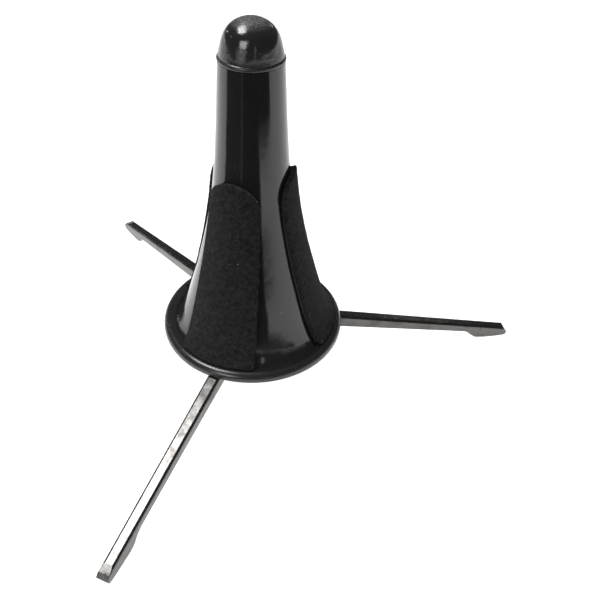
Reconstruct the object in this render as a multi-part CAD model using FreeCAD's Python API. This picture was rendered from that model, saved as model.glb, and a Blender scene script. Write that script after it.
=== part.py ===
import FreeCAD, Part
import math
import os

# Trumpet stand: a flared cone that the bell slips over, on a round dish with three folding legs.
# Millimetres, +Z up. The origin is on the floor, on the cone's axis. One leg points along +X.

Vector = FreeCAD.Vector
ORIGIN = Vector(0, 0, 0)
UP = Vector(0, 0, 1)

leg_azimuths = [0, 120, 240]        # degrees, leg 1 to leg 3
arm_azimuths = [60, 180, 300]       # screws and bosses sit midway between the legs
pad_azimuths = [-14.5, 116, 237.3]  # the felt pads are glued on by hand, not quite evenly

# Dish
dish_radius = 50.0
dish_bottom = 26.4                  # lower edge of the rim's skirt
rim_top = 31.5
rim_round = 3.2                     # rounding of the rim's outer top edge
rim_wall = 2.0
band_inner_radius = 43.5            # inner edge of the rim's band, a small step round the cone's foot
band_inner_top = 31.0
seat_height = 30.7                  # the cone's foot stands here
floor_wall = 1.8
spigot_radius = 35.4                # ring that locates the cone, at its top
spigot_foot_radius = 38.8           # the same ring at the seat
plate_bottom = 36.0                 # plate that closes the spigot and carries the hub
plate_top = 38.0

# Cone: outer radius at each height, from the foot to the tube's open end
cone_wall = 2.4
cone_profile = [(30.7, 43.2), (32.5, 41.6), (35.0, 40.05), (39.0, 38.3), (45.0, 36.1), (60.0, 31.6),
                (75.0, 27.5), (90.0, 24.0), (110.0, 20.4), (130.0, 18.2), (150.0, 16.75), (179.0, 15.1)]
cone_foot = cone_profile[0][0]
tube_end = cone_profile[-1][0]
boss_radius = 4.2
boss_top = 80.0
boss_spacing = 26.0                 # bosses' distance from the axis

# Cap
lip_radius = 15.35
lip_top = 181.2
cap_top = 197.2
cap_wall = 2.0
plug_depth = 13.0
plug_clearance = 0.05

# Felt pads and their adhesive
pad_bottom = 31.65
pad_spring = 112.5                  # where the arch starts
pad_top = 126.0
pad_half_width_top = 13.7
pad_half_width_bottom = 20.9
pad_overhang = 4.0                  # how far the felt runs on past the cone's foot before it is cut level
adhesive_thickness = 0.2
adhesive_margin = 2.0               # the film stops this far inside the felt's edge
adhesive_gap = 0.02
felt_thickness = 3.0

# Legs
leg_slope = math.radians(10.55)     # below level, when open
leg_top_at_rim = 26.0               # height of the leg's top edge under the rim
leg_tip_radius = 156.4
leg_depth_root = 7.0                # upright size where the leg sits in its fork
leg_depth_rim = 8.0                 # and where it leaves the dish
leg_depth_tip = 4.7
leg_width_root = 5.6                # inside the fork
leg_width_rim = 7.1
leg_width_tip = 6.2
leg_neck_end = 33.0                 # the leg is narrow up to here
leg_taper_start = 36.0              # and full size from here
leg_edge_round = 1.5
foot_start = 128.0                  # where the underside starts to swell into the foot
foot_flat_start = 139.5             # flat facet that rests on the floor
foot_flat_end = 145.5

# Hinges
pivot_radius = 22.0                 # pivot's distance from the axis
pin_radius = 1.5
pin_head_radius = 2.4
pin_head_height = 0.8
leg_bore_clearance = 0.06
washer_radius = 3.2
washer_thickness = 0.36
slot_width = 6.4
slot_inner_radius = 17.6
cheek_thickness = 3.5
hub_bottom = 20.4
hub_reach = 31.3
hub_disc_radius = 19.5
hub_disc_thickness = 3.0
stop_gap = 0.05                     # leg's top to the stop above it

# Screws
screw_radius = 1.5
screw_head_radius = 2.8
screw_head_height = 2.0
pilot_radius = 1.25
recess_radius = 1.6
recess_depth = 1.2
hub_screw_spacing = 14.0
hub_screw_length = 10.0
hub_boss_radius = 3.6
hub_boss_top = 47.0
cone_screw_length = 14.0


def leg_top_height(radius):
    return leg_top_at_rim - (radius - dish_radius) * math.tan(leg_slope)


def leg_underside(radius):
    part_way = (radius - dish_radius) / (leg_tip_radius - dish_radius)
    return leg_top_height(radius) - leg_depth_rim - (leg_depth_tip - leg_depth_rim) * part_way


pivot_height = leg_top_height(pivot_radius) - leg_depth_root / 2
root_radius = leg_depth_root / 2 * math.cos(leg_slope)


def point(radius, height):
    return Vector(radius, 0, height)


def polygon_face(points):
    return Part.Face(Part.makePolygon(points + [points[0]]))


def turned(shape, azimuth):
    """A copy turned about the stand's axis."""
    copy = shape.copy()
    copy.rotate(ORIGIN, UP, azimuth)
    return copy


def upright_cylinder(radius, bottom, top, distance=0.0):
    return Part.makeCylinder(radius, top - bottom, Vector(distance, 0, bottom), UP)


def cross_cylinder(radius, half_length, distance, height):
    """A cylinder along Y, centred on the XZ plane."""
    start = Vector(distance, -half_length, height)
    return Part.makeCylinder(radius, 2 * half_length, start, Vector(0, 1, 0))


def side_plate(points, width):
    """A flat outline in the XZ plane, given its width across Y."""
    face = polygon_face([Vector(x, -width / 2, z) for x, z in points])
    return face.extrude(Vector(0, width, 0))


def cone_curve(offset):
    """The cone's profile, moved outwards by offset."""
    curve = Part.BSplineCurve()
    curve.interpolate([point(r + offset, z) for z, r in cone_profile])
    return curve.toShape()


def cone_wall_ring():
    """The cone's plain wall, without its bosses."""
    foot_radius = cone_profile[0][1]
    end_radius = cone_profile[-1][1]
    edges = [cone_curve(0), cone_curve(-cone_wall),
             Part.makeLine(point(foot_radius - cone_wall, cone_foot), point(foot_radius, cone_foot)),
             Part.makeLine(point(end_radius, tube_end), point(end_radius - cone_wall, tube_end))]
    return Part.Face(Part.Wire(Part.__sortEdges__(edges))).revolve(ORIGIN, UP, 360)


def lifted_points(distance):
    """The profile lifted off the cone's surface, and run on past the foot along its slope."""
    curve = Part.BSplineCurve()
    curve.interpolate([point(r, z) for z, r in cone_profile])
    lifted = []
    for height, radius in cone_profile:
        along = curve.tangent(curve.parameter(point(radius, height)))[0]
        lifted.append(point(radius + distance * along.z, height - distance * along.x))
    down = (lifted[0] - lifted[1]).normalize()
    return [lifted[0] + down * pad_overhang] + lifted


def surface_layer(inner_distance, outer_distance):
    """A layer of even thickness over the cone's surface."""
    edges = []
    ends = []
    for distance in (inner_distance, outer_distance):
        points = lifted_points(distance)
        curve = Part.BSplineCurve()
        curve.interpolate(points)
        edges.append(curve.toShape())
        ends.append((points[0], points[-1]))
    edges.append(Part.makeLine(ends[0][0], ends[1][0]))
    edges.append(Part.makeLine(ends[0][1], ends[1][1]))
    return Part.Face(Part.Wire(Part.__sortEdges__(edges))).revolve(ORIGIN, UP, 360)


def cone_interior():
    """The space inside the cone's wall."""
    foot_radius = cone_profile[0][1] - cone_wall
    end_radius = cone_profile[-1][1] - cone_wall
    edges = [cone_curve(-cone_wall),
             Part.makeLine(point(end_radius, tube_end), point(0, tube_end)),
             Part.makeLine(point(0, tube_end), point(0, cone_foot)),
             Part.makeLine(point(0, cone_foot), point(foot_radius, cone_foot))]
    return Part.Face(Part.Wire(Part.__sortEdges__(edges))).revolve(ORIGIN, UP, 360)


def cone_shell():
    shell = cone_wall_ring()
    inside = cone_interior()
    for azimuth in arm_azimuths:
        boss = upright_cylinder(boss_radius, plate_top, boss_top, boss_spacing)
        pilot = upright_cylinder(pilot_radius, plate_top, plate_top + cone_screw_length, boss_spacing)
        shell = shell.fuse(turned(boss, azimuth).common(inside))
        shell = shell.cut(turned(pilot, azimuth))
    return shell


def top_cap():
    """A soft dome with a rolled lip, on a plug that fills the tube's open end."""
    plug_radius = cone_profile[-1][1] - cone_wall - plug_clearance
    lip_side = Part.Arc(point(lip_radius - 0.5, tube_end),
                        point(lip_radius, (tube_end + lip_top) / 2 - 0.2),
                        point(lip_radius - 0.75, lip_top))
    dome = Part.BSplineCurve()
    dome.interpolate([point(14.6, lip_top + 0.5), point(13.95, 185.0), point(12.65, 189.4),
                      point(10.2, 193.4), point(6.2, 196.1), point(0, cap_top)],
                     InitialTangent=Vector(-0.1, 0, 1), FinalTangent=Vector(-1, 0, 0))
    edges = [Part.makeLine(point(0, tube_end - plug_depth), point(plug_radius - 0.8, tube_end - plug_depth)),
             Part.makeLine(point(plug_radius - 0.8, tube_end - plug_depth),
                           point(plug_radius, tube_end - plug_depth + 1.5)),
             Part.makeLine(point(plug_radius, tube_end - plug_depth + 1.5), point(plug_radius, tube_end)),
             Part.makeLine(point(plug_radius, tube_end), point(lip_radius - 0.5, tube_end)),
             lip_side.toShape(),
             Part.makeLine(point(lip_radius - 0.75, lip_top), point(14.6, lip_top + 0.5)),
             dome.toShape(),
             Part.makeLine(point(0, cap_top), point(0, tube_end - plug_depth))]
    solid_cap = Part.Face(Part.Wire(Part.__sortEdges__(edges))).revolve(ORIGIN, UP, 360)
    hollow_radius = plug_radius - cap_wall
    hollow = upright_cylinder(hollow_radius, tube_end - plug_depth, lip_top)
    crown = Part.makeSphere(hollow_radius, Vector(0, 0, lip_top))
    return solid_cap.cut(hollow.fuse(crown))


def pad_outline(grow=0.0):
    """Arch-topped prism along +X that cuts one pad out of a layer over the cone."""
    left_foot = Vector(0, -pad_half_width_bottom - grow, pad_bottom - grow)
    left_spring = Vector(0, -pad_half_width_top - grow, pad_spring)
    crown = Vector(0, 0, pad_top + grow)
    right_spring = Vector(0, pad_half_width_top + grow, pad_spring)
    right_foot = Vector(0, pad_half_width_bottom + grow, pad_bottom - grow)
    edges = [Part.makeLine(left_foot, left_spring),
             Part.Arc(left_spring, crown, right_spring).toShape(),
             Part.makeLine(right_spring, right_foot),
             Part.makeLine(right_foot, left_foot)]
    return Part.Face(Part.Wire(edges)).extrude(Vector(2 * dish_radius, 0, 0))


def felt_pad(azimuth):
    layer = surface_layer(adhesive_thickness, adhesive_thickness + felt_thickness)
    return turned(layer.common(pad_outline()), azimuth)


def pad_adhesive(azimuth):
    layer = surface_layer(adhesive_gap, adhesive_thickness)
    return turned(layer.common(pad_outline(grow=-adhesive_margin)), azimuth)


def base_dish():
    """Rim, seat and spigot in one moulding."""
    shoulder = rim_round * (1 - math.sqrt(0.5))
    top_line = [point(dish_radius - rim_round, rim_top),
                point(band_inner_radius + 0.2, band_inner_top),
                point(band_inner_radius, seat_height),
                point(spigot_foot_radius, seat_height),
                point(spigot_radius, plate_top),
                point(0, plate_top),
                point(0, plate_bottom),
                point(spigot_radius - rim_wall, plate_bottom),
                point(spigot_foot_radius - rim_wall, seat_height - floor_wall),
                point(band_inner_radius, seat_height - floor_wall),
                point(dish_radius - rim_round, rim_top - rim_wall),
                point(dish_radius - rim_wall, rim_top - rim_wall - 1.6),
                point(dish_radius - rim_wall, dish_bottom + 0.4),
                point(dish_radius - rim_wall + 0.5, dish_bottom),
                point(dish_radius - 0.6, dish_bottom),
                point(dish_radius, dish_bottom + 0.6),
                point(dish_radius, rim_top - rim_round)]
    rim_arc = Part.Arc(top_line[-1], point(dish_radius - shoulder, rim_top - shoulder), top_line[0])
    edges = [Part.makeLine(start, end) for start, end in zip(top_line, top_line[1:])]
    dish = Part.Face(Part.Wire(edges + [rim_arc.toShape()])).revolve(ORIGIN, UP, 360)
    for azimuth in arm_azimuths:
        boss = upright_cylinder(hub_boss_radius, plate_bottom, hub_boss_top, hub_screw_spacing)
        hub_pilot = upright_cylinder(pilot_radius, plate_bottom, hub_boss_top - 1, hub_screw_spacing)
        cone_hole = upright_cylinder(screw_radius + 0.1, plate_bottom, plate_top, boss_spacing)
        dish = dish.fuse(turned(boss, azimuth))
        dish = dish.cut(turned(hub_pilot, azimuth)).cut(turned(cone_hole, azimuth))
    return dish.removeSplitter()


def fork_block():
    """The block that one leg's slot is cut in, along +X."""
    width = slot_width + 2 * cheek_thickness
    outline = [(0, hub_bottom), (hub_reach - 5, hub_bottom), (hub_reach, hub_bottom + 4),
               (hub_reach, plate_bottom), (0, plate_bottom)]
    return side_plate(outline, width)


def leg_slot():
    """The room that one leg needs in the hub, open below and outwards, closed by its stop above."""
    roof_outer = leg_top_height(dish_radius) + stop_gap
    roof_inner = leg_top_height(slot_inner_radius) + stop_gap
    return side_plate([(slot_inner_radius, 0), (dish_radius, 0), (dish_radius, roof_outer),
                       (slot_inner_radius, roof_inner)], slot_width)


def hinge_hub():
    """Three forks on one disc, screwed up against the dish's plate."""
    hub = upright_cylinder(hub_disc_radius, plate_bottom - hub_disc_thickness, plate_bottom)
    for azimuth in leg_azimuths:
        hub = hub.fuse(turned(fork_block(), azimuth))
    for azimuth in leg_azimuths:
        pin_hole = cross_cylinder(pin_radius, slot_width / 2 + cheek_thickness + 1, pivot_radius, pivot_height)
        hub = hub.cut(turned(leg_slot(), azimuth)).cut(turned(pin_hole, azimuth))
    for azimuth in arm_azimuths:
        hole = upright_cylinder(screw_radius + 0.1, hub_bottom, plate_bottom, hub_screw_spacing)
        hub = hub.cut(turned(hole, azimuth))
    return hub.removeSplitter()


def leg(azimuth):
    """A tapered bar: round root on its pivot, swollen foot with a flat facet, cut-off tip."""
    tangent = math.radians(90) - leg_slope
    root_top = point(pivot_radius + root_radius * math.cos(tangent),
                     pivot_height + root_radius * math.sin(tangent))
    root_back = point(pivot_radius - root_radius * math.cos(leg_slope),
                      pivot_height + root_radius * math.sin(leg_slope))
    root_bottom = point(pivot_radius - root_radius * math.cos(tangent),
                        pivot_height - root_radius * math.sin(tangent))
    top_bend = point(leg_tip_radius - 6.0, leg_top_height(leg_tip_radius - 6.0))
    tip_top = point(leg_tip_radius - 2.0, top_bend.z - 1.25)
    tip_front = point(leg_tip_radius, tip_top.z - 2.3)
    tip_bottom = point(leg_tip_radius - 1.0, 1.7)
    facet_end = point(foot_flat_end, 0)
    facet_start = point(foot_flat_start, 0)
    swell_start = point(foot_start, leg_underside(foot_start))
    knee = point(leg_taper_start, leg_underside(leg_taper_start))
    swell = Part.BSplineCurve()
    swell.interpolate([swell_start, facet_start], InitialTangent=(swell_start - knee).normalize(),
                      FinalTangent=Vector(1, 0, 0))
    outline = [Part.makeLine(root_top, top_bend), Part.makeLine(top_bend, tip_top),
               Part.makeLine(tip_top, tip_front), Part.makeLine(tip_front, tip_bottom),
               Part.makeLine(tip_bottom, facet_end), Part.makeLine(facet_end, facet_start),
               swell.toShape(), Part.makeLine(swell_start, knee), Part.makeLine(knee, root_bottom),
               Part.Arc(root_bottom, root_back, root_top).toShape()]
    side = Part.Wire(Part.__sortEdges__(outline))
    blank = Part.Face(side).extrude(Vector(0, leg_width_rim, 0))
    blank.translate(Vector(0, -leg_width_rim / 2, 0))
    half_plan = [(0, leg_width_root / 2), (leg_neck_end, leg_width_root / 2),
                 (leg_taper_start, leg_width_rim / 2), (leg_tip_radius, leg_width_tip / 2)]
    other_half = [(radius, -half_width) for radius, half_width in reversed(half_plan)]
    plan = polygon_face([Vector(radius, across, 0) for radius, across in half_plan + other_half])
    bar = blank.common(plan.extrude(Vector(0, 0, 60)))
    long_edges = [edge for edge in bar.Edges if is_long_leg_edge(edge)]
    bar = bar.makeFillet(leg_edge_round, long_edges)
    bar = bar.cut(cross_cylinder(pin_radius + leg_bore_clearance, leg_width_root, pivot_radius, pivot_height))
    return turned(bar, azimuth)


def is_long_leg_edge(edge):
    """True for the edges that run along a leg's tapered part and its foot, above and below."""
    box = edge.BoundBox
    return box.XLength > 4 and box.XMin > leg_neck_end and box.XMax < leg_tip_radius - 2


def pivot_pin(azimuth):
    """A rivet across the fork, with a flat head at each end."""
    half = slot_width / 2 + cheek_thickness
    pin = cross_cylinder(pin_radius, half, pivot_radius, pivot_height)
    for side in (-1, 1):
        start = Vector(pivot_radius, side * half, pivot_height)
        head = Part.makeCylinder(pin_head_radius, pin_head_height, start, Vector(0, side, 0))
        pin = pin.fuse(head)
    return turned(pin.removeSplitter(), azimuth)


def friction_washers(azimuth):
    """Two thin washers, one each side of the leg's root."""
    gap = (slot_width - leg_width_root) / 2
    middle = leg_width_root / 2 + gap / 2
    washers = []
    for side in (-1, 1):
        start = Vector(pivot_radius, side * middle - washer_thickness / 2, pivot_height)
        disc = Part.makeCylinder(washer_radius, washer_thickness, start, Vector(0, 1, 0))
        washers.append(disc.cut(cross_cylinder(pin_radius + leg_bore_clearance, slot_width,
                                               pivot_radius, pivot_height)))
    return turned(Part.makeCompound(washers), azimuth)


def screws(spacing, head_top, length):
    """Three pan-head screws pointing up, with a round driving recess in each head."""
    group = []
    for azimuth in arm_azimuths:
        head_bottom = head_top - screw_head_height
        head = upright_cylinder(screw_head_radius, head_bottom, head_top, spacing)
        shank = upright_cylinder(screw_radius - 0.25, head_top, head_top + length, spacing)
        recess = upright_cylinder(recess_radius, head_bottom, head_bottom + recess_depth, spacing)
        group.append(turned(head.fuse(shank).cut(recess).removeSplitter(), azimuth))
    return Part.makeCompound(group)


parts = {
    "cone_shell": cone_shell(),
    "top_cap": top_cap(),
    "base_dish": base_dish(),
    "hinge_hub": hinge_hub(),
    "hub_screws": screws(hub_screw_spacing, plate_bottom - hub_disc_thickness, hub_screw_length),
    "cone_screws": screws(boss_spacing, plate_bottom, cone_screw_length),
}
for number, azimuth in enumerate(leg_azimuths, start=1):
    parts[f"felt_pad_{number}"] = felt_pad(pad_azimuths[number - 1])
    parts[f"pad_adhesive_{number}"] = pad_adhesive(pad_azimuths[number - 1])
    parts[f"leg_{number}"] = leg(azimuth)
    parts[f"pivot_pin_{number}"] = pivot_pin(azimuth)
    parts[f"friction_washers_{number}"] = friction_washers(azimuth)

os.makedirs("parts", exist_ok=True)
for name, shape in parts.items():
    shape.exportStep(f"parts/{name}.step")
    size = shape.BoundBox
    print(f"{name}: {len(shape.Solids)} solid(s), valid {shape.isValid()}, volume {shape.Volume:.1f} mm3,"
          f" z {size.ZMin:.2f} to {size.ZMax:.2f}")
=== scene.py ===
import math
import random

import bmesh
import bpy
from mathutils import Matrix, Vector, noise
from mathutils.bvhtree import BVHTree


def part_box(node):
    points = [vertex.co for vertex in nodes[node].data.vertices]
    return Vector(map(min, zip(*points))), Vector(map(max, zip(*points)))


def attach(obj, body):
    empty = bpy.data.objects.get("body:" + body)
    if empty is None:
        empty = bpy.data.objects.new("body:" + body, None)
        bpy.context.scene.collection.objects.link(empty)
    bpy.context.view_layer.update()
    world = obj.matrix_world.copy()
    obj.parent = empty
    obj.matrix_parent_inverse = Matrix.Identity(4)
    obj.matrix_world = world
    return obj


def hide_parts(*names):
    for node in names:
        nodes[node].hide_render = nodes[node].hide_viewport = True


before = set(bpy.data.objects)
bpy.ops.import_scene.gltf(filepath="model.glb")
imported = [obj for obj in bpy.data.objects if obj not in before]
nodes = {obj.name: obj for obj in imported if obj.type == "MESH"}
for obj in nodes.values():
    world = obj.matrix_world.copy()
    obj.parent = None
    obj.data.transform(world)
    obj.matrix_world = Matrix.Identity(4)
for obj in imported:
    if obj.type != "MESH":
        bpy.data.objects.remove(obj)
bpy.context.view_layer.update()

mm = 0.001
scene = bpy.context.scene
legNumbers = (1, 2, 3)


def finishMesh(bm, name, smooth=True):
    mesh = bpy.data.meshes.new(name)
    bm.to_mesh(mesh)
    bm.free()
    for face in mesh.polygons:
        face.use_smooth = smooth
    obj = bpy.data.objects.new(name, mesh)
    scene.collection.objects.link(obj)
    return obj


def bakeModifiers(obj):
    # swaps the mesh for what the modifiers make of it
    graph = bpy.context.evaluated_depsgraph_get()
    baked = bpy.data.meshes.new_from_object(obj.evaluated_get(graph))
    obj.modifiers.clear()
    obj.data = baked
    return obj


def paint(obj, material):
    obj.data.materials.clear()
    obj.data.materials.append(material)


# node groups that several materials share

def newGroup(name, inputs, outputs):
    group = bpy.data.node_groups.new(name, "ShaderNodeTree")
    for socketName, kind, value in inputs:
        socket = group.interface.new_socket(socketName, in_out="INPUT", socket_type=kind)
        if value is not None:
            socket.default_value = value
    for socketName, kind in outputs:
        group.interface.new_socket(socketName, in_out="OUTPUT", socket_type=kind)
    return group, group.nodes.new("NodeGroupInput"), group.nodes.new("NodeGroupOutput")


def addNode(tree, kind, **settings):
    node = tree.nodes.new(kind)
    for key, value in settings.items():
        setattr(node, key, value)
    return node


def math2(tree, operation, a, b, clamp=False):
    node = addNode(tree, "ShaderNodeMath", operation=operation, use_clamp=clamp)
    for socket, value in zip(node.inputs, (a, b)):
        if isinstance(value, (int, float)):
            socket.default_value = value
        else:
            tree.links.new(value, socket)
    return node.outputs[0]


def noiseTex(tree, vector, scale, detail=3.0, roughness=0.5):
    node = addNode(tree, "ShaderNodeTexNoise")
    tree.links.new(vector, node.inputs["Vector"])
    if isinstance(scale, (int, float)):
        node.inputs["Scale"].default_value = scale
    else:
        tree.links.new(scale, node.inputs["Scale"])
    node.inputs["Detail"].default_value = detail
    node.inputs["Roughness"].default_value = roughness
    return node.outputs["Fac"]


def remap(tree, value, low, high, newLow=0.0, newHigh=1.0):
    node = addNode(tree, "ShaderNodeMapRange", clamp=True)
    tree.links.new(value, node.inputs["Value"])
    for socket, number in zip(("From Min", "From Max", "To Min", "To Max"), (low, high, newLow, newHigh)):
        if isinstance(number, (int, float)):
            node.inputs[socket].default_value = number
        else:
            tree.links.new(number, node.inputs[socket])
    return node.outputs["Result"]


def makeDustGroup():
    # sparse pale specks and faint films, as a mask
    group, inp, out = newGroup(
        "dustAndLint",
        [("Vector", "NodeSocketVector", None), ("Speck Scale", "NodeSocketFloat", 900.0),
         ("Speck Size", "NodeSocketFloat", 0.12), ("Rarity", "NodeSocketFloat", 0.8)],
        [("Specks", "NodeSocketFloat"), ("Film", "NodeSocketFloat")])
    cells = addNode(group, "ShaderNodeTexVoronoi", feature="F1")
    group.links.new(inp.outputs["Vector"], cells.inputs["Vector"])
    group.links.new(inp.outputs["Speck Scale"], cells.inputs["Scale"])
    dot = math2(group, "LESS_THAN", cells.outputs["Distance"], inp.outputs["Speck Size"])
    split = addNode(group, "ShaderNodeSeparateColor")
    group.links.new(cells.outputs["Color"], split.inputs[0])
    chosen = math2(group, "GREATER_THAN", split.outputs[0], inp.outputs["Rarity"])
    group.links.new(math2(group, "MULTIPLY", dot, chosen), out.inputs["Specks"])
    film = noiseTex(group, inp.outputs["Vector"], 35.0, 5.0, 0.6)
    group.links.new(remap(group, film, 0.45, 0.8), out.inputs["Film"])
    return group


def makeScratchGroup():
    # fine scuffs: noise stretched along one direction, thresholded to thin lines
    group, inp, out = newGroup(
        "fineScuffs",
        [("Vector", "NodeSocketVector", None), ("Scale", "NodeSocketFloat", 300.0),
         ("Amount", "NodeSocketFloat", 0.5)],
        [("Mask", "NodeSocketFloat"), ("Height", "NodeSocketFloat")])
    warp = noiseTex(group, inp.outputs["Vector"], 60.0, 2.0)
    lines = noiseTex(group, inp.outputs["Vector"], inp.outputs["Scale"], 6.0, 0.65)
    ridge = math2(group, "ABSOLUTE", math2(group, "SUBTRACT", lines, 0.5), 0.0)
    thin = remap(group, ridge, 0.0, 0.018, 1.0, 0.0)
    patches = remap(group, warp, 0.5, 0.75)
    mask = math2(group, "MULTIPLY", math2(group, "MULTIPLY", thin, patches), inp.outputs["Amount"])
    group.links.new(mask, out.inputs["Mask"])
    cut = math2(group, "MULTIPLY", mask, 0.3)
    group.links.new(math2(group, "SUBTRACT", lines, cut), out.inputs["Height"])
    return group


def makeWaveGroup():
    # low, slow unevenness of a surface that was moulded or polished by hand
    group, inp, out = newGroup(
        "surfaceWaves",
        [("Vector", "NodeSocketVector", None), ("Slow", "NodeSocketFloat", 40.0),
         ("Quick", "NodeSocketFloat", 400.0), ("Mix", "NodeSocketFloat", 0.2)],
        [("Height", "NodeSocketFloat")])
    slow = noiseTex(group, inp.outputs["Vector"], inp.outputs["Slow"], 2.0, 0.4)
    quick = noiseTex(group, inp.outputs["Vector"], inp.outputs["Quick"], 3.0, 0.5)
    height = math2(group, "ADD", slow, math2(group, "MULTIPLY", quick, inp.outputs["Mix"]))
    group.links.new(height, out.inputs["Height"])
    return group


def makeFeltGroup():
    # matted short fibres: warped noise at two sizes; the tone output is partly the fibres' own uneven tone,
    # partly painted shade that darkens the hollows
    group, inp, out = newGroup(
        "mattedFibres",
        [("Vector", "NodeSocketVector", None), ("Fibre Scale", "NodeSocketFloat", 1500.0),
         ("Clump Scale", "NodeSocketFloat", 220.0)],
        [("Height", "NodeSocketFloat"), ("Tone And Hollow Shade", "NodeSocketFloat")])
    clump = noiseTex(group, inp.outputs["Vector"], inp.outputs["Clump Scale"], 4.0, 0.6)
    bend = addNode(group, "ShaderNodeVectorMath", operation="MULTIPLY_ADD")
    warp = addNode(group, "ShaderNodeTexNoise")
    group.links.new(inp.outputs["Vector"], warp.inputs["Vector"])
    warp.inputs["Scale"].default_value = 500.0
    group.links.new(warp.outputs["Color"], bend.inputs[0])
    bend.inputs[1].default_value = (0.0012, 0.0012, 0.0012)
    group.links.new(inp.outputs["Vector"], bend.inputs[2])
    fibre = noiseTex(group, bend.outputs[0], inp.outputs["Fibre Scale"], 5.0, 0.7)
    height = math2(group, "ADD", fibre, math2(group, "MULTIPLY", clump, 0.8))
    group.links.new(height, out.inputs["Height"])
    # painted shade: the tone follows the bump height, so the fibre hollows come out darker
    group.links.new(remap(group, height, 0.72, 1.08), out.inputs["Tone And Hollow Shade"])
    return group


def makeBandGroup():
    # a height band that wear has dulled, broken up by grain; it grows from one height to the other
    group, inp, out = newGroup(
        "wornBand",
        [("Vector", "NodeSocketVector", None), ("From", "NodeSocketFloat", 0.0),
         ("To", "NodeSocketFloat", 1.0), ("Grain Scale", "NodeSocketFloat", 900.0)],
        [("Mask", "NodeSocketFloat")])
    split = addNode(group, "ShaderNodeSeparateXYZ")
    group.links.new(inp.outputs["Vector"], split.inputs[0])
    grown = remap(group, split.outputs["Z"], inp.outputs["From"], inp.outputs["To"])
    grain = noiseTex(group, inp.outputs["Vector"], inp.outputs["Grain Scale"], 4.0, 0.6)
    group.links.new(math2(group, "MULTIPLY", grown, remap(group, grain, 0.3, 0.6)), out.inputs["Mask"])
    return group


dustGroup = makeDustGroup()
bandGroup = makeBandGroup()
scuffGroup = makeScratchGroup()
waveGroup = makeWaveGroup()
feltGroup = makeFeltGroup()


def startMaterial(name):
    material = bpy.data.materials.new(name)
    material.use_nodes = True
    tree = material.node_tree
    tree.nodes.clear()
    output = tree.nodes.new("ShaderNodeOutputMaterial")
    shader = tree.nodes.new("ShaderNodeBsdfPrincipled")
    tree.links.new(shader.outputs[0], output.inputs["Surface"])
    coords = tree.nodes.new("ShaderNodeTexCoord")
    return material, tree, shader, coords.outputs["Object"]


def placeGroup(tree, group, vector, **values):
    node = tree.nodes.new("ShaderNodeGroup")
    node.node_tree = group
    tree.links.new(vector, node.inputs["Vector"])
    for key, value in values.items():
        node.inputs[key.replace("_", " ")].default_value = value
    return node


def stretched(tree, vector, scale, turn=(0, 0, 0)):
    mapping = addNode(tree, "ShaderNodeMapping")
    tree.links.new(vector, mapping.inputs["Vector"])
    mapping.inputs["Scale"].default_value = scale
    mapping.inputs["Rotation"].default_value = turn
    return mapping.outputs[0]


def mixColour(tree, mask, first, second):
    node = addNode(tree, "ShaderNodeMix", data_type="RGBA")
    tree.links.new(mask, node.inputs["Factor"])
    for socket, value in ((node.inputs[6], first), (node.inputs[7], second)):
        if isinstance(value, tuple):
            socket.default_value = (*value, 1.0)
        else:
            tree.links.new(value, socket)
    return node.outputs[2]


def addBump(tree, shader, height, strength, distance, normal=None):
    bump = addNode(tree, "ShaderNodeBump")
    bump.inputs["Strength"].default_value = strength
    bump.inputs["Distance"].default_value = distance
    tree.links.new(height, bump.inputs["Height"])
    if normal is not None:
        tree.links.new(normal, bump.inputs["Normal"])
    tree.links.new(bump.outputs[0], shader.inputs["Normal"])
    return bump.outputs[0]


def mouldedPlastic(name, look):
    # black injection-moulded plastic: faint waves, fine scuffs, a little dust
    material, tree, shader, vector = startMaterial(name)
    waves = placeGroup(tree, waveGroup, vector, Slow=look["waveScale"], Quick=look["grainScale"],
                       Mix=look["grainShare"])
    scuffs = placeGroup(tree, scuffGroup, stretched(tree, vector, (1.0, 1.0, look["scuffStretch"])),
                        Scale=look["scuffScale"], Amount=look["scuffAmount"])
    dust = placeGroup(tree, dustGroup, vector, Speck_Scale=look["speckScale"], Speck_Size=0.10,
                      Rarity=look["speckRarity"])
    tone = mixColour(tree, dust.outputs["Film"], look["colour"], look["filmColour"])
    tone = mixColour(tree, dust.outputs["Specks"], tone, look["speckColour"])
    rough = math2(tree, "ADD", remap(tree, dust.outputs["Film"], 0.0, 1.0, *look["roughness"]),
                  math2(tree, "MULTIPLY", scuffs.outputs["Mask"], look["scuffRoughness"]))
    for band in look["mattBands"]:
        worn = placeGroup(tree, bandGroup, vector, From=band["from"], To=band["to"],
                          Grain_Scale=band["grainScale"])
        tone = mixColour(tree, worn.outputs["Mask"], tone, band["colour"])
        rough = math2(tree, "ADD", rough, math2(tree, "MULTIPLY", worn.outputs["Mask"], band["roughness"]))
    tree.links.new(tone, shader.inputs["Base Color"])
    rough = math2(tree, "ADD", rough, math2(tree, "MULTIPLY", dust.outputs["Specks"], 0.4), clamp=True)
    tree.links.new(rough, shader.inputs["Roughness"])
    shader.inputs["IOR"].default_value = look["ior"]
    coarse = addNode(tree, "ShaderNodeBump")
    coarse.inputs["Strength"].default_value = look["waveStrength"]
    coarse.inputs["Distance"].default_value = look["waveDepth"]
    tree.links.new(waves.outputs["Height"], coarse.inputs["Height"])
    addBump(tree, shader, scuffs.outputs["Height"], look["scuffBump"], 0.00002, coarse.outputs[0])
    return material


coneLook = {
    "colour": (0.0085, 0.0085, 0.009), "filmColour": (0.012, 0.012, 0.0125),
    "speckColour": (0.16, 0.16, 0.16),
    "roughness": (0.10, 0.17), "ior": 1.5, "waveScale": 28.0, "grainScale": 900.0, "grainShare": 0.02,
    "waveStrength": 0.35, "waveDepth": 0.0006, "scuffStretch": 0.25, "scuffScale": 220.0, "scuffAmount": 0.5,
    "scuffRoughness": 0.16, "scuffBump": 0.12, "speckScale": 420.0, "speckRarity": 0.985, "mattBands": (),
}
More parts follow.
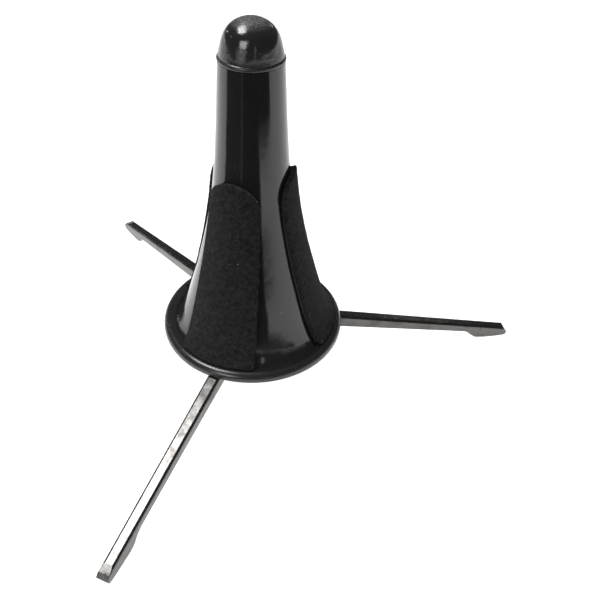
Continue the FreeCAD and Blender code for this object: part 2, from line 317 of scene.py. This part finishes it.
# dulled bands by height, from where the wear starts to where it is full
wornLip = {"from": 183.4 * mm, "to": 182.4 * mm, "grainScale": 900.0, "colour": (0.010, 0.010, 0.010),
           "roughness": 0.25}
wornCrown = {"from": 194.0 * mm, "to": 196.8 * mm, "grainScale": 1300.0, "colour": (0.09, 0.09, 0.09),
             "roughness": 0.4}
dishLook = dict(coneLook, colour=(0.011, 0.011, 0.0115), roughness=(0.24, 0.34), scuffStretch=1.0,
                scuffScale=260.0, scuffAmount=0.8, waveStrength=0.5, speckRarity=0.97)
capLook = dict(coneLook, colour=(0.010, 0.010, 0.0105), roughness=(0.13, 0.24), waveScale=90.0,
               waveStrength=0.7, waveDepth=0.0008, grainShare=0.08, scuffAmount=0.6,
               mattBands=(wornLip, wornCrown))
hubLook = dict(coneLook, colour=(0.016, 0.016, 0.017), roughness=(0.42, 0.55), grainShare=0.15,
               waveStrength=0.6, scuffAmount=0.3)
washerLook = dict(coneLook, colour=(0.62, 0.6, 0.55), filmColour=(0.5, 0.48, 0.42), roughness=(0.35, 0.45),
                  scuffAmount=0.2, speckRarity=0.99)

conePlastic = mouldedPlastic("glossBlackPlastic", coneLook)
dishPlastic = mouldedPlastic("satinBlackPlastic", dishLook)
capRubber = mouldedPlastic("softBlackVinyl", capLook)
hubNylon = mouldedPlastic("mattBlackNylon", hubLook)
washerNylon = mouldedPlastic("paleNylon", washerLook)


def metal(name, look):
    # plated steel: waves from hand polishing, faint draw lines, grime in patches
    material, tree, shader, vector = startMaterial(name)
    waves = placeGroup(tree, waveGroup, vector, Slow=look["waveScale"], Quick=look["grainScale"],
                       Mix=look["grainShare"])
    scuffs = placeGroup(tree, scuffGroup, vector, Scale=look["scuffScale"], Amount=look["scuffAmount"])
    grime = noiseTex(tree, vector, look["grimeScale"], 5.0, 0.62)
    grimeMask = remap(tree, grime, 0.5, 0.78)
    tone = mixColour(tree, grimeMask, look["colour"], look["grimeColour"])
    tree.links.new(tone, shader.inputs["Base Color"])
    rough = math2(tree, "ADD", remap(tree, grimeMask, 0.0, 1.0, *look["roughness"]),
                  math2(tree, "MULTIPLY", scuffs.outputs["Mask"], 0.2), clamp=True)
    tree.links.new(rough, shader.inputs["Roughness"])
    shader.inputs["Metallic"].default_value = 1.0
    coarse = addNode(tree, "ShaderNodeBump")
    coarse.inputs["Strength"].default_value = look["waveStrength"]
    coarse.inputs["Distance"].default_value = look["waveDepth"]
    tree.links.new(waves.outputs["Height"], coarse.inputs["Height"])
    addBump(tree, shader, scuffs.outputs["Height"], look["scuffBump"], 0.00002, coarse.outputs[0])
    return material


legLook = {
    "colour": (0.105, 0.102, 0.099), "grimeColour": (0.06, 0.055, 0.052), "roughness": (0.22, 0.38),
    "waveScale": 120.0, "grainScale": 700.0, "grainShare": 0.06, "waveStrength": 0.4, "waveDepth": 0.0004,
    "scuffScale": 420.0, "scuffAmount": 0.6, "scuffBump": 0.2, "grimeScale": 160.0,
}
pinLook = dict(legLook, colour=(0.5, 0.5, 0.5), roughness=(0.22, 0.35), waveStrength=0.2)
screwLook = dict(legLook, colour=(0.46, 0.45, 0.42), roughness=(0.28, 0.45), waveStrength=0.2)
legSteel = metal("darkNickelSteel", legLook)
pinSteel = metal("brightSteelPin", pinLook)
screwSteel = metal("zincScrew", screwLook)


def feltMaterial(name, look):
    # dyed black felt: no gloss, fibre bump, painted shade in the fibre hollows so it is greyer where the nap
    # stands up, a few bits of lint
    material, tree, shader, vector = startMaterial(name)
    fibres = placeGroup(tree, feltGroup, vector, Fibre_Scale=look["fibreScale"],
                        Clump_Scale=look["clumpScale"])
    dust = placeGroup(tree, dustGroup, vector, Speck_Scale=look["lintScale"], Speck_Size=0.13,
                      Rarity=look["lintRarity"])
    # painted shade: the low parts of the fibre bump take the darker hollow colour, the raised nap the nap
    # colour
    tone = mixColour(tree, fibres.outputs["Tone And Hollow Shade"], look["shadedHollowColour"], look["napColour"])
    tone = mixColour(tree, dust.outputs["Specks"], tone, look["lintColour"])
    tree.links.new(tone, shader.inputs["Base Color"])
    shader.inputs["Roughness"].default_value = 1.0
    shader.inputs["Specular IOR Level"].default_value = 0.12
    shader.inputs["Sheen Weight"].default_value = look["sheen"]
    shader.inputs["Sheen Roughness"].default_value = 0.6
    shader.inputs["Sheen Tint"].default_value = (0.6, 0.6, 0.62, 1.0)
    addBump(tree, shader, fibres.outputs["Height"], look["bump"], look["bumpDepth"])
    return material


# the hollow colour is painted shade for the fibre hollows; the nap colour is the felt's own colour
feltLook = {
    "shadedHollowColour": (0.0025, 0.0025, 0.0028), "napColour": (0.019, 0.019, 0.0195), "sheen": 0.05,
    "fibreScale": 1300.0, "clumpScale": 420.0, "bump": 1.0, "bumpDepth": 0.0007,
    "lintColour": (0.22, 0.22, 0.22), "lintScale": 520.0, "lintRarity": 0.985,
}
hairLook = dict(feltLook, shadedHollowColour=(0.02, 0.02, 0.02), napColour=(0.06, 0.06, 0.062), bump=0.1)
lintLook = dict(hairLook, shadedHollowColour=(0.16, 0.16, 0.15), napColour=(0.42, 0.42, 0.40))
blackFelt = feltMaterial("blackFelt", feltLook)
feltHair = feltMaterial("feltHair", hairLook)
paleLint = feltMaterial("paleLint", lintLook)


def adhesiveMaterial(look):
    # cloudy dark glue film
    material, tree, shader, vector = startMaterial("padAdhesive")
    cloudy = noiseTex(tree, vector, look["cloudScale"], 4.0)
    tone = mixColour(tree, cloudy, look["darkColour"], look["paleColour"])
    tree.links.new(tone, shader.inputs["Base Color"])
    tree.links.new(remap(tree, cloudy, 0.3, 0.7, *look["roughness"]), shader.inputs["Roughness"])
    addBump(tree, shader, cloudy, 0.3, 0.0001)
    return material


adhesiveLook = {
    "cloudScale": 300.0, "darkColour": (0.012, 0.012, 0.012), "paleColour": (0.03, 0.03, 0.028),
    "roughness": (0.4, 0.6),
}
adhesive = adhesiveMaterial(adhesiveLook)
print("materials ready")


# CAD nodes keep their shape and get their finish
finishes = {"cone_shell": conePlastic, "top_cap": capRubber, "base_dish": dishPlastic, "hinge_hub": hubNylon,
            "hub_screws": screwSteel, "cone_screws": screwSteel}
for number in legNumbers:
    finishes[f"leg_{number}"] = legSteel
    finishes[f"pivot_pin_{number}"] = pinSteel
    finishes[f"friction_washers_{number}"] = washerNylon
    finishes[f"pad_adhesive_{number}"] = adhesive
for nodeName, material in finishes.items():
    paint(nodes[nodeName], material)
print("CAD nodes painted")


feltPad = {
    "azimuths": (-14.5, 116.0, 237.3), "bottom": 31.7 * mm, "spring": 112.5 * mm, "top": 126.0 * mm,
    # widths measured round the cone
    "halfWidthSpring": 13.8 * mm, "halfWidthBottom": 21.4 * mm, "waist": 0.8 * mm,
    "overhang": 6.0 * mm, "thickness": 3.0 * mm, "standOff": 0.16 * mm, "cell": 1.3 * mm, "voxel": 0.5 * mm,
    "lump": 0.12 * mm, "lumpSize": 7.0 * mm, "nap": 0.07 * mm, "napSize": 0.8 * mm,
    "seed": 7,
}
# loose hairs: how many, the share of them on the arch alone, length, thickness, how much they keep to edges
blackHairs = {
    "piece": "feltFuzz", "material": feltHair, "count": 2600, "onArch": 0.15,
    "length": (0.5 * mm, 1.6 * mm), "width": 0.05 * mm, "edgeShare": 0.6,
}
lintHairs = {
    "piece": "feltLint", "material": paleLint, "count": 90, "onArch": 0.75,
    "length": (0.5 * mm, 1.5 * mm), "width": 0.045 * mm, "edgeShare": 0.9,
}

coneMesh = nodes["cone_shell"].data
coneTree = BVHTree.FromPolygons([v.co for v in coneMesh.vertices], [p.vertices for p in coneMesh.polygons])
coneMeasure = {"angle": 0.4, "from": 80.0 * mm, "aboveFoot": 0.15 * mm, "step": 0.5 * mm, "steps": 260}
profileStep = coneMeasure["step"]


def measureCone(m):
    # radius and slope of the cone's outside, at even steps up from its foot
    direction = Vector((math.cos(m["angle"]), math.sin(m["angle"]), 0))
    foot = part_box("cone_shell")[0][2] + m["aboveFoot"]
    radii = []
    for step in range(m["steps"]):
        start = direction * m["from"] + Vector((0, 0, foot + step * profileStep))
        hit = coneTree.ray_cast(start, -direction)[0]
        radii.append(math.hypot(hit.x, hit.y))
    slopes = []
    for step in range(len(radii)):
        low, high = max(step - 3, 0), min(step + 3, len(radii) - 1)
        slopes.append((radii[high] - radii[low]) / ((high - low) * profileStep))
    return foot, radii, slopes


coneFoot, coneRadii, coneSlopes = measureCone(coneMeasure)


def conePoint(height):
    # radius and slope at a height, running straight on below the foot
    if height < coneFoot:
        return coneRadii[0] + coneSlopes[0] * (height - coneFoot), coneSlopes[0]
    place = (height - coneFoot) / profileStep
    step = min(int(place), len(coneRadii) - 2)
    share = place - step
    return (coneRadii[step] * (1 - share) + coneRadii[step + 1] * share,
            coneSlopes[step] * (1 - share) + coneSlopes[step + 1] * share)


def flatPad(p):
    # the pad laid flat in the XZ plane: cut to its outline, then given its thickness
    bm = bmesh.new()
    bottom = p["bottom"] - p["overhang"]
    width = p["halfWidthBottom"] * 2.2
    tall = (p["top"] - bottom) * 1.02
    across, up = round(width / p["cell"]), round(tall / p["cell"])
    bmesh.ops.create_grid(bm, x_segments=across, y_segments=up, size=0.5)
    bmesh.ops.scale(bm, verts=bm.verts, vec=(width, tall, 1))
    bmesh.ops.rotate(bm, verts=bm.verts, matrix=Matrix.Rotation(math.pi / 2, 3, "X"))
    bmesh.ops.translate(bm, verts=bm.verts, vec=(0, 0, (p["top"] + bottom) / 2))

    def cut(point, outward):
        geometry = bm.verts[:] + bm.edges[:] + bm.faces[:]
        bmesh.ops.bisect_plane(bm, geom=geometry, plane_co=point, plane_no=outward, clear_outer=True,
                               dist=1e-7)

    lean = (p["halfWidthBottom"] - p["halfWidthSpring"]) / (p["spring"] - p["bottom"])
    arch = p["top"] - p["spring"]
    for side in (-1, 1):
        cut((side * p["halfWidthSpring"], 0, p["spring"]), (side, 0, lean))
    steps = 28
    for step in range(1, steps):
        angle = math.pi * step / steps
        outward = Vector((math.cos(angle) / p["halfWidthSpring"], 0, math.sin(angle) / arch)).normalized()
        cut((p["halfWidthSpring"] * math.cos(angle), 0, p["spring"] + arch * math.sin(angle)), outward)
    made = bmesh.ops.extrude_face_region(bm, geom=bm.faces[:])
    bmesh.ops.translate(bm, verts=[v for v in made["geom"] if isinstance(v, bmesh.types.BMVert)],
                        vec=(0, p["thickness"], 0))
    bmesh.ops.recalc_face_normals(bm, faces=bm.faces)
    return bm


def wrapPad(bm, p, azimuth):
    # x runs round the cone, y out along its normal, z is the height on the cone's surface
    for vertex in bm.verts:
        x, y, z = vertex.co
        radius, slope = conePoint(z)
        along = max(0.0, min(1.0, (z - p["bottom"]) / (p["spring"] - p["bottom"])))
        narrowing = 1 - 4 * along * (1 - along) * p["waist"] / p["halfWidthBottom"]
        angle = math.radians(azimuth) + x * narrowing / (radius + p["thickness"] / 2)
        length = math.hypot(1, slope)
        lift = p["standOff"] + y
        out = radius + lift / length
        vertex.co = (out * math.cos(angle), out * math.sin(angle), z - lift * slope / length)
    geometry = bm.verts[:] + bm.edges[:] + bm.faces[:]
    made = bmesh.ops.bisect_plane(bm, geom=geometry, plane_co=(0, 0, p["bottom"]), plane_no=(0, 0, -1),
                                  clear_outer=True, dist=1e-7)
    rim = [e for e in made["geom_cut"] if isinstance(e, bmesh.types.BMEdge)]
    bmesh.ops.holes_fill(bm, edges=rim)
    bmesh.ops.recalc_face_normals(bm, faces=bm.faces)


def roughen(obj, p, shift):
    # soft lumps and a short nap along the normals; the underside stays put
    points = [vertex.co.copy() for vertex in obj.data.vertices]
    normals = [vertex.normal.copy() for vertex in obj.data.vertices]
    for point, normal in zip(points, normals):
        if normal.z > -0.7:
            lump = noise.noise((point + shift) / p["lumpSize"]) * p["lump"]
            nap = noise.noise((point + shift) / p["napSize"]) * p["nap"]
            point += normal * (lump + nap)
    obj.data.vertices.foreach_set("co", [value for point in points for value in point])
    obj.data.update()


def addFibre(bm, root, outward, side, length, width):
    # one bent hair: three rings of three, closed at both ends
    rings = []
    for share in (0.0, 0.55, 1.0):
        lean = share * share * 0.9
        centre = root + outward * (length * share * (1 - 0.35 * share)) + side * (length * lean)
        thick = width * (1 - 0.6 * share)
        across = outward.cross(side).normalized()
        rings.append([bm.verts.new(centre + across * (thick * math.cos(a)) + side * (thick * math.sin(a)))
                      for a in (0.0, 2.094, 4.189)])
    for low, high in zip(rings, rings[1:]):
        for k in range(3):
            bm.faces.new((low[k], low[(k + 1) % 3], high[(k + 1) % 3], high[k]))
    bm.faces.new(rings[0][::-1])
    bm.faces.new(rings[2])


def growHairs(obj, p, hairs, seed):
    # loose hairs over the felt, most of them near its cut edges
    rand = random.Random(seed)
    bm = bmesh.new()
    vertices = obj.data.vertices
    placed = 0
    while placed < hairs["count"]:
        vertex = vertices[rand.randrange(len(vertices))]
        radial = Vector((vertex.co.x, vertex.co.y, 0)).normalized()
        outwards = vertex.normal.dot(radial)
        if outwards < 0.05 or vertex.co.z < p["bottom"] + 0.8 * mm:
            continue
        nearEdge = outwards < 0.8
        if not nearEdge and rand.random() < hairs["edgeShare"]:
            continue
        if vertex.co.z < p["spring"] and placed < hairs["count"] * hairs["onArch"]:
            continue
        side = Vector((rand.uniform(-1, 1), rand.uniform(-1, 1), rand.uniform(-1, 1)))
        side = (side - vertex.normal * side.dot(vertex.normal)).normalized()
        lean = (vertex.normal + side * rand.uniform(0.2, 1.2)).normalized()
        length = rand.uniform(*hairs["length"]) * (1.0 if nearEdge else 0.55)
        addFibre(bm, vertex.co - vertex.normal * 0.1 * mm, lean, side, length, hairs["width"])
        placed += 1
    bmesh.ops.recalc_face_normals(bm, faces=bm.faces)
    return bm


for number in legNumbers:
    bm = flatPad(feltPad)
    wrapPad(bm, feltPad, feltPad["azimuths"][number - 1])
    pad = finishMesh(bm, f"feltPad{number}")
    remesh = pad.modifiers.new("soften", "REMESH")
    remesh.mode = "VOXEL"
    remesh.voxel_size = feltPad["voxel"]
    remesh.use_smooth_shade = True
    smooth = pad.modifiers.new("round", "SMOOTH")
    smooth.factor = 0.5
    smooth.iterations = 2
    bakeModifiers(pad)
    roughen(pad, feltPad, Vector((0.1 * number, 0, 0)))
    paint(pad, blackFelt)
    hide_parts(f"felt_pad_{number}")
    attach(pad, "stand_body")
    for hairs in (blackHairs, lintHairs):
        seed = feltPad["seed"] + number
        hair = finishMesh(growHairs(pad, feltPad, hairs, seed), f"{hairs['piece']}{number}")
        paint(hair, hairs["material"])
        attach(hair, "stand_body")
print("felt pads ready")


stage = {
    "floorSize": 6.0, "floorColour": (0.93, 0.93, 0.93), "floorSolid": 0.5, "below": 2.1, "sky": 0.12,
    "clothLift": 1.0 * mm, "aimHeight": 90.0 * mm,
    "clothColour": (0.02, 0.02, 0.02), "greyClothColour": (0.05, 0.05, 0.05),
}
# each panel: direction from the object (degrees), distance and size in metres, brightness
panels = {
    "overheadLamp": {"azimuth": 158, "elevation": 66, "distance": 1.3, "size": (0.64, 0.42), "bright": 18},
    "windowLeft": {"azimuth": 233, "elevation": 25, "distance": 2.2, "size": (0.75, 0.80), "bright": 8},
    "windowSill": {"azimuth": 228, "elevation": 7, "distance": 2.2, "size": (1.10, 0.40), "bright": 1.2},
    "windowStrip": {"azimuth": 277, "elevation": 16, "distance": 2.0, "size": (0.08, 0.60), "bright": 3},
    "rightWall": {"azimuth": 322, "elevation": 1, "distance": 1.6, "size": (1.10, 0.24), "bright": 0.5},
    "lampLow": {"azimuth": 131, "elevation": 16, "distance": 2.0, "size": (0.14, 0.14), "bright": 14},
    "lampSide": {"azimuth": 170, "elevation": 28, "distance": 2.0, "size": (0.16, 0.10), "bright": 6},
    "lampRight": {"azimuth": 54, "elevation": 22, "distance": 2.0, "size": (0.16, 0.12), "bright": 6},
}
floorFill = {"azimuth": 90, "elevation": 80, "distance": 2.0, "size": (2.6, 2.6), "bright": 1.6}
cloths = {    # dark cloths beside the object, outside the view: corners on the floor, metres
    "frontCloth": ((-0.11, -0.158), (0.085, -0.188), (0.105, -0.37), (0.34, -0.245), (1.5, -1.1),
                   (-1.3, -1.9)),
    "leftCloth": ((-0.16, -0.145), (-0.115, -0.1595), (-1.32, -1.9), (-2.4, 0.1), (-0.24, -0.01)),
}


def plainMaterial(name, colour, solid):
    material = bpy.data.materials.new(name)
    material.use_nodes = True
    tree = material.node_tree
    tree.nodes.clear()
    output = tree.nodes.new("ShaderNodeOutputMaterial")
    mix = tree.nodes.new("ShaderNodeMixShader")
    clear = tree.nodes.new("ShaderNodeBsdfTransparent")
    pale = tree.nodes.new("ShaderNodeBsdfDiffuse")
    pale.inputs["Color"].default_value = (*colour, 1.0)
    mix.inputs["Fac"].default_value = solid
    tree.links.new(clear.outputs[0], mix.inputs[1])
    tree.links.new(pale.outputs[0], mix.inputs[2])
    tree.links.new(mix.outputs[0], output.inputs["Surface"])
    return material


def makeFloor():
    bm = bmesh.new()
    bmesh.ops.create_grid(bm, x_segments=1, y_segments=1, size=stage["floorSize"] / 2)
    floor = finishMesh(bm, "floor", smooth=False)
    paint(floor, plainMaterial("paleFloor", stage["floorColour"], stage["floorSolid"]))
    return floor


def makeCloth(name, corners, colour):
    bm = bmesh.new()
    bm.faces.new([bm.verts.new((x, y, stage["clothLift"])) for x, y in corners])
    bmesh.ops.recalc_face_normals(bm, faces=bm.faces)
    cloth = finishMesh(bm, name, smooth=False)
    paint(cloth, plainMaterial(name, colour, 1.0))
    return cloth


def makeSurround():
    # dim room above, bright paper below
    world = bpy.data.worlds.new("studio")
    scene.world = world
    world.use_nodes = True
    tree = world.node_tree
    background = tree.nodes["Background"]
    coords = tree.nodes.new("ShaderNodeTexCoord")
    split = tree.nodes.new("ShaderNodeSeparateXYZ")
    ramp = tree.nodes.new("ShaderNodeMapRange")
    tree.links.new(coords.outputs["Generated"], split.inputs[0])
    tree.links.new(split.outputs["Z"], ramp.inputs["Value"])
    for socket, value in zip(("From Min", "From Max", "To Min", "To Max"),
                             (-0.01, 0.01, stage["below"], stage["sky"])):
        ramp.inputs[socket].default_value = value
    tree.links.new(ramp.outputs["Result"], background.inputs["Strength"])
    background.inputs["Color"].default_value = (1, 1, 1, 1)


def panelLight(name, panel, inReflections=True):
    light = bpy.data.lights.new(name, "AREA")
    light.shape = "RECTANGLE"
    light.size, light.size_y = panel["size"]
    light.energy = panel["bright"] * math.pi * light.size * light.size_y
    obj = bpy.data.objects.new(name, light)
    scene.collection.objects.link(obj)
    azimuth, elevation = math.radians(panel["azimuth"]), math.radians(panel["elevation"])
    toward = Vector((math.cos(elevation) * math.cos(azimuth), math.cos(elevation) * math.sin(azimuth),
                     math.sin(elevation)))
    target = Vector((0, 0, stage["aimHeight"]))
    obj.location = target + toward * panel["distance"]
    obj.rotation_euler = (-toward).to_track_quat("-Z", "Y").to_euler()
    obj.visible_glossy = inReflections
    return obj


makeFloor()
makeCloth("frontCloth", cloths["frontCloth"], stage["clothColour"])
makeCloth("leftCloth", cloths["leftCloth"], stage["greyClothColour"])
makeSurround()
for name, panel in panels.items():
    panelLight(name, panel)
panelLight("floorFill", floorFill, inReflections=False)

cameraSetup = {
    "reach": (21.7 * mm, -297.6 * mm, 299.65 * mm), "heading": -9.2, "downTilt": 39.35, "roll": 2.27,
    "lens": 42.289, "shiftX": 0.01245, "shiftY": -0.03253,
}


def makeCamera():
    data = bpy.data.cameras.new("camera")
    camera = bpy.data.objects.new("camera", data)
    scene.collection.objects.link(camera)
    data.sensor_width = 36.0
    data.lens = cameraSetup["lens"]
    data.shift_x = cameraSetup["shiftX"]
    data.shift_y = cameraSetup["shiftY"]
    heading = Matrix.Rotation(math.radians(cameraSetup["heading"]), 4, "Z")
    tilt = Matrix.Rotation(math.radians(90 - cameraSetup["downTilt"]), 4, "X")
    roll = Matrix.Rotation(math.radians(cameraSetup["roll"]), 4, "Z")
    camera.matrix_world = heading @ Matrix.Translation(cameraSetup["reach"]) @ tilt @ roll
    scene.camera = camera


makeCamera()
scene.view_settings.view_transform = "Standard"
print("stage ready")
